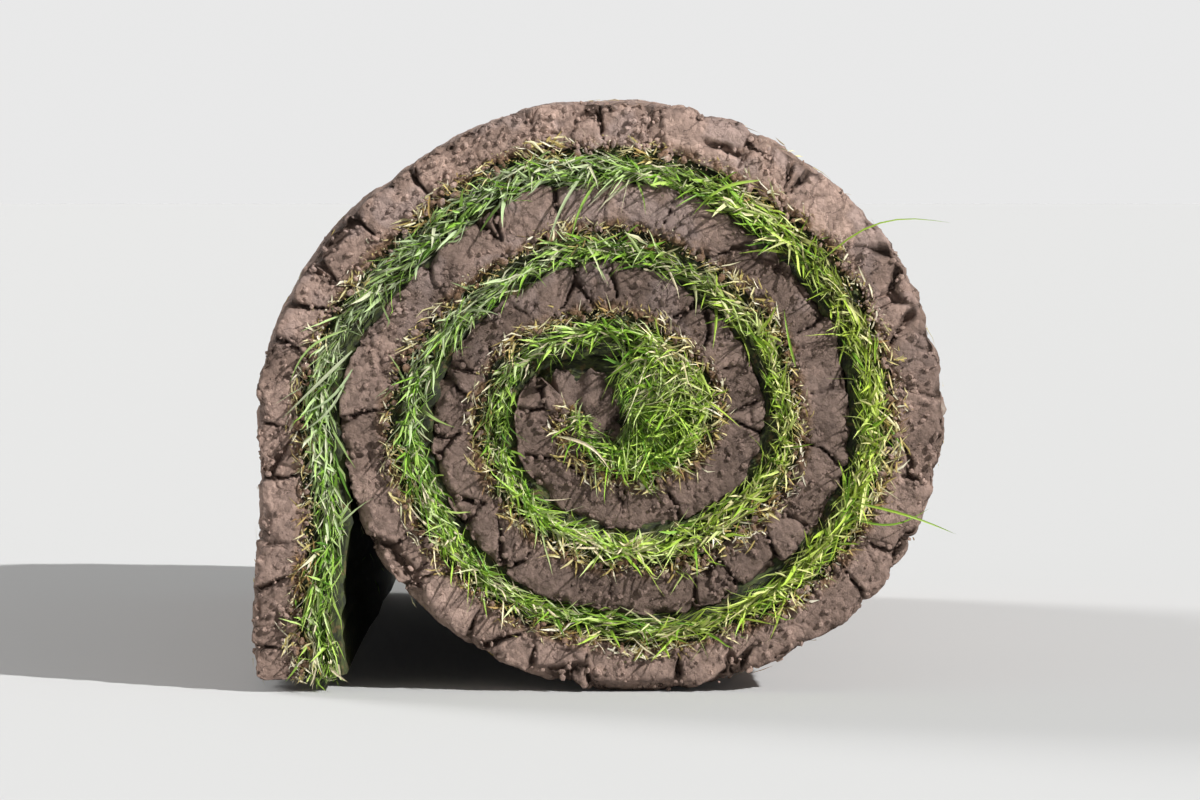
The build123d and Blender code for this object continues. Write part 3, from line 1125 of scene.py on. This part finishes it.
def stoneMaterial():
    material, tree, shader = newMaterial("stones")
    look = stoneLook
    place = objectPlace(tree)
    colour = mixColour(spots(place, look["shadeSize"], 0.35, 0.65), look["dark"], look["pale"])
    dirt = spots(place, look["dirtSize"], 0.45, 0.62, 3.0)
    colour = tinted(colour, dirt, look["dirt"])
    grain = noise(place, look["grainSize"], 3.0)
    endMaterial(shader, colour, 0.75, 0.5, grain, look["bumpDepth"], 0.4)
    return material


lumps = lumpTree()


def scatterLumps(name, finish, **changes):
    runTree(name, lumps, bpy.data.meshes.new(name),
            {**lumpDefaults, **winding, "Material": finish, **changes}, "soil")


scatterLumps("crumbsFront", soilFinish, Count=2000, Seed=41, Low=-halfSoil, High=halfSoil - 0.002,
             Inner=-halfWidth - 0.0008, Outer=-halfWidth + 0.0004, Largest=0.0015)
scatterLumps("crumbsRoots", soilFinish, Count=900, Seed=42, Low=-halfSoil - 0.002, High=-halfSoil + 0.004,
             Inner=-halfWidth - 0.002, Outer=-halfWidth, Largest=0.0019)
scatterLumps("crumbsBack", soilFinish, Count=900, Seed=43, Inner=halfWidth - 0.0004, Outer=halfWidth + 0.0008)
scatterLumps("crumbsSkin", soilFinish, Count=1300, Seed=44, To=soil["skinBits"],
             Low=halfSoil - 0.0011, High=halfSoil - 0.0002, Inner=-halfWidth + 0.002,
             Outer=halfWidth - 0.002, Largest=0.0020)
scatterLumps("stones", stoneMaterial(), Count=70, Seed=45, Facets=2, To=soil["skinBits"],
             Low=halfSoil - 0.0030, High=halfSoil - 0.0012, Inner=-halfWidth + 0.020,
             Outer=halfWidth - 0.020, Smallest=0.0018, Largest=0.0048, Flatness=0.6)
print("small pieces scattered")


# Floor, light and camera

stage = {
    "floorColour": (0.60, 0.60, 0.594, 1),
    "keyFrom": (1.34, -1.15, 1.22),
    "keyStrength": 4.7,
    "keySoftness": 1.4,     # degrees
    "backFrom": (-1.45, 1.50, 1.10),
    "backStrength": 1.7,
    "backSoftness": 25.0,
    "fillFrom": (-1.8, -1.8, 0.9),
    "fillSize": 1.6,
    "fillStrength": 1.6,
    "worldStrength": 0.19,
    "cameraDistance": 2.6,
    "cameraHeight": 0.20,
    "framing": 0.45,        # width of the view at the roll's end, in metres
    "floorGlow": 0.005,     # the camera alone sees the floor this much paler
    "backdrop": 0.812,
}


def makeFloor():
    mesh = bpy.data.meshes.new("floor")
    reach = 30.0
    mesh.from_pydata([(-reach, -reach, 0), (reach, -reach, 0), (reach, reach, 0), (-reach, reach, 0)], [],
                     [(0, 1, 2, 3)])
    floor = newObject("floor", mesh)
    material, tree, shader = newMaterial("floorPaint")
    endMaterial(shader, stage["floorColour"], 0.9)
    seen = put(tree, "ShaderNodeLightPath")
    shader.inputs["Emission Color"].default_value = (1, 1, 1, 1)
    feed(shader.inputs["Emission Strength"], out(seen, "Is Camera Ray") * stage["floorGlow"])
    mesh.materials.append(material)


def aimAt(item, target):
    item.rotation_euler = (Vector(target) - item.location).to_track_quat("-Z", "Y").to_euler()


def addLamp(part, kind):
    lamp = bpy.data.lights.new(part + "Light", kind)
    lamp.energy = stage[part + "Strength"]
    item = newObject(part + "Light", lamp)
    item.location = stage[part + "From"]
    aimAt(item, (0, 0, 0.1))
    if kind == "SUN":
        lamp.angle = math.radians(stage[part + "Softness"])
    else:
        lamp.size = stage[part + "Size"]


def makeStage():
    makeFloor()
    for part, kind in (("key", "SUN"), ("back", "SUN"), ("fill", "AREA")):
        addLamp(part, kind)
    world = bpy.data.worlds.new("studio")
    world.use_nodes = True
    bpy.context.scene.world = world
    tree = world.node_tree
    background = tree.nodes["Background"]
    background.inputs["Color"].default_value = (1, 1, 1, 1)
    seen = put(tree, "ShaderNodeLightPath")
    direct = out(seen, "Is Camera Ray").work("MAXIMUM", out(seen, "Is Glossy Ray"))
    direct = direct.work("MAXIMUM", out(seen, "Is Transmission Ray"))
    strength = direct * (stage["backdrop"] - stage["worldStrength"]) + stage["worldStrength"]
    feed(background.inputs["Strength"], strength)
    bpy.context.scene.view_settings.view_transform = "Standard"


def makeCamera():
    low, high = cadBox
    target = Vector(((low[0] + high[0]) / 2, low[1], (low[2] + high[2]) / 2))
    camera = bpy.data.cameras.new("camera")
    item = newObject("camera", camera)
    item.location = (target.x, target.y - stage["cameraDistance"], stage["cameraHeight"])
    aimAt(item, target)
    reach = (item.location - target).length
    camera.angle = 2 * math.atan(stage["framing"] / 2 / reach)
    camera.clip_start = 0.05
    bpy.context.scene.camera = item


makeStage()
makeCamera()
bpy.data.objects.remove(spiral)
bpy.context.view_layer.update()
